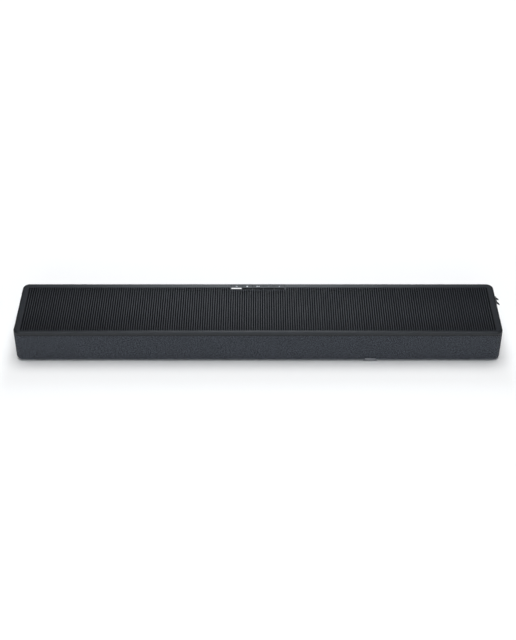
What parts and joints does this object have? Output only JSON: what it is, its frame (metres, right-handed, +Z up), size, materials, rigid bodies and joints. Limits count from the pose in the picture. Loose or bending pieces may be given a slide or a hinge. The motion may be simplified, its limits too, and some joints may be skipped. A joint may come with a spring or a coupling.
{
  "type": "soundbar",
  "caption": "Long low soundbar with a finely ribbed top, a textile front and ends, flush keys with a light bar at the rear edge and a connector bay at the back.",
  "frame": {"origin": "centre of the footprint, on the surface that the feet stand on", "axes": "+X along the length towards the listener's right when seen from the front, -Y towards the listener, +Z up"},
  "size_m": [0.8501, 0.1409, 0.063],
  "materials": {
    "tub_plastic": "fine moulded texture, near black",
    "inner_plastic": "plain moulded ABS",
    "frame_plastic": "moulded, black",
    "textile": "woven melange textile, dark grey",
    "cover_plastic": "satin moulded texture, anthracite",
    "rib_plastic": "satin moulded, anthracite",
    "acoustic_cloth": "thin black cloth",
    "panel_plastic": "moulded, black",
    "port_plastic": "smooth moulded, black",
    "foot_rubber": "soft black rubber",
    "screw_steel": "black zinc plated",
    "insert_brass": "turned",
    "clip_plastic": "moulded, near black",
    "tag_metal": "satin, blank",
    "key_plastic": "satin with white marks",
    "guide_plastic": "moulded, black",
    "lit_guide": "translucent, lit white",
    "light_guide": "translucent smoke, unlit",
    "board_laminate": "solder mask, green",
    "switch_metal": "stamped, plated",
    "led_lens": "clear epoxy",
    "basket_steel": "stamped, black",
    "motor_steel": "zinc plated",
    "cone_paper": "pressed fibre pulp",
    "surround_rubber": "butyl rubber roll",
    "tweeter_plastic": "moulded, black",
    "dome_silk": "coated silk dome",
    "transformer_tape": "ferrite core and yellow tape",
    "capacitor_sleeve": "shrink sleeve",
    "sink_aluminium": "extruded, natural",
    "inlet_plastic": "moulded, black",
    "socket_metal": "stamped shell",
    "optical_plastic": "moulded, black"
  },
  "bodies": {
    "housing": {"base_tub": "tub_plastic", "rear_wall": "tub_plastic", "front_baffle": "inner_plastic", "speaker_deck": "inner_plastic", "grille_frame": "frame_plastic", "fabric_wrap": "textile", "top_cover": "cover_plastic", "ribbed_grille": "rib_plastic", "grille_cloth": "acoustic_cloth", "rear_panel": "panel_plastic", "left_bass_port": "port_plastic", "right_bass_port": "port_plastic", "rubber_feet": "foot_rubber", "housing_screws": "screw_steel", "wall_inserts": "insert_brass", "cable_clip": "clip_plastic", "front_tag": "tag_metal", "key_guide": "guide_plastic", "status_light": "lit_guide", "key_lights": "light_guide", "control_board": "board_laminate", "tact_switches": "switch_metal", "indicator_leds": "led_lens", "left_mid_basket": "basket_steel", "left_mid_magnet": "motor_steel", "left_mid_surround": "surround_rubber", "centre_mid_basket": "basket_steel", "centre_mid_magnet": "motor_steel", "centre_mid_surround": "surround_rubber", "right_mid_basket": "basket_steel", "right_mid_magnet": "motor_steel", "right_mid_surround": "surround_rubber", "left_woofer_basket": "basket_steel", "left_woofer_magnet": "motor_steel", "left_woofer_surround": "surround_rubber", "right_woofer_basket": "basket_steel", "right_woofer_magnet": "motor_steel", "right_woofer_surround": "surround_rubber", "left_tweeter_housing": "tweeter_plastic", "right_tweeter_housing": "tweeter_plastic", "circuit_boards": "board_laminate", "transformer": "transformer_tape", "capacitors": "capacitor_sleeve", "heat_sink": "sink_aluminium", "mains_inlet": "inlet_plastic", "video_socket": "socket_metal", "data_socket": "socket_metal", "optical_socket": "optical_plastic"},
    "power_key_body": {"power_key": "key_plastic"},
    "source_key_body": {"source_key": "key_plastic"},
    "pairing_key_body": {"pairing_key": "key_plastic"},
    "volume_down_key_body": {"volume_down_key": "key_plastic"},
    "volume_up_key_body": {"volume_up_key": "key_plastic"},
    "left_mid_moving": {"left_mid_cone": "cone_paper"},
    "centre_mid_moving": {"centre_mid_cone": "cone_paper"},
    "right_mid_moving": {"right_mid_cone": "cone_paper"},
    "left_woofer_moving": {"left_woofer_cone": "cone_paper"},
    "right_woofer_moving": {"right_woofer_cone": "cone_paper"},
    "left_tweeter_moving": {"left_tweeter_dome": "dome_silk"},
    "right_tweeter_moving": {"right_tweeter_dome": "dome_silk"}
  },
  "joints": [
    {"name": "power_key_press", "type": "slide", "parent": "housing", "child": "power_key_body", "axis": [0, 0, -1], "range_m": [0, 0.0005], "stiffness_N_per_m": 900, "springref_m": -0.0006},
    {"name": "source_key_press", "type": "slide", "parent": "housing", "child": "source_key_body", "axis": [0, 0, -1], "range_m": [0, 0.0005], "stiffness_N_per_m": 900, "springref_m": -0.0006},
    {"name": "pairing_key_press", "type": "slide", "parent": "housing", "child": "pairing_key_body", "axis": [0, 0, -1], "range_m": [0, 0.0005], "stiffness_N_per_m": 900, "springref_m": -0.0006},
    {"name": "volume_down_key_press", "type": "slide", "parent": "housing", "child": "volume_down_key_body", "axis": [0, 0, -1], "range_m": [0, 0.0005], "stiffness_N_per_m": 900, "springref_m": -0.0006},
    {"name": "volume_up_key_press", "type": "slide", "parent": "housing", "child": "volume_up_key_body", "axis": [0, 0, -1], "range_m": [0, 0.0005], "stiffness_N_per_m": 900, "springref_m": -0.0006},
    {"name": "left_mid_travel", "type": "slide", "parent": "housing", "child": "left_mid_moving", "axis": [0, -1, 0], "range_m": [-0.0015, 0.0015], "stiffness_N_per_m": 1200, "deforming": ["left_mid_surround"]},
    {"name": "centre_mid_travel", "type": "slide", "parent": "housing", "child": "centre_mid_moving", "axis": [0, -1, 0], "range_m": [-0.0015, 0.0015], "stiffness_N_per_m": 1200, "deforming": ["centre_mid_surround"]},
    {"name": "right_mid_travel", "type": "slide", "parent": "housing", "child": "right_mid_moving", "axis": [0, -1, 0], "range_m": [-0.0015, 0.0015], "stiffness_N_per_m": 1200, "deforming": ["right_mid_surround"]},
    {"name": "left_woofer_travel", "type": "slide", "parent": "housing", "child": "left_woofer_moving", "axis": [0, 0, 1], "range_m": [-0.003, 0.003], "stiffness_N_per_m": 900, "deforming": ["left_woofer_surround"]},
    {"name": "right_woofer_travel", "type": "slide", "parent": "housing", "child": "right_woofer_moving", "axis": [0, 0, 1], "range_m": [-0.003, 0.003], "stiffness_N_per_m": 900, "deforming": ["right_woofer_surround"]},
    {"name": "left_tweeter_travel", "type": "slide", "parent": "housing", "child": "left_tweeter_moving", "axis": [0, -1, 0], "range_m": [-0.0003, 0.0003], "stiffness_N_per_m": 1500},
    {"name": "right_tweeter_travel", "type": "slide", "parent": "housing", "child": "right_tweeter_moving", "axis": [0, -1, 0], "range_m": [-0.0003, 0.0003], "stiffness_N_per_m": 1500}
  ]
}
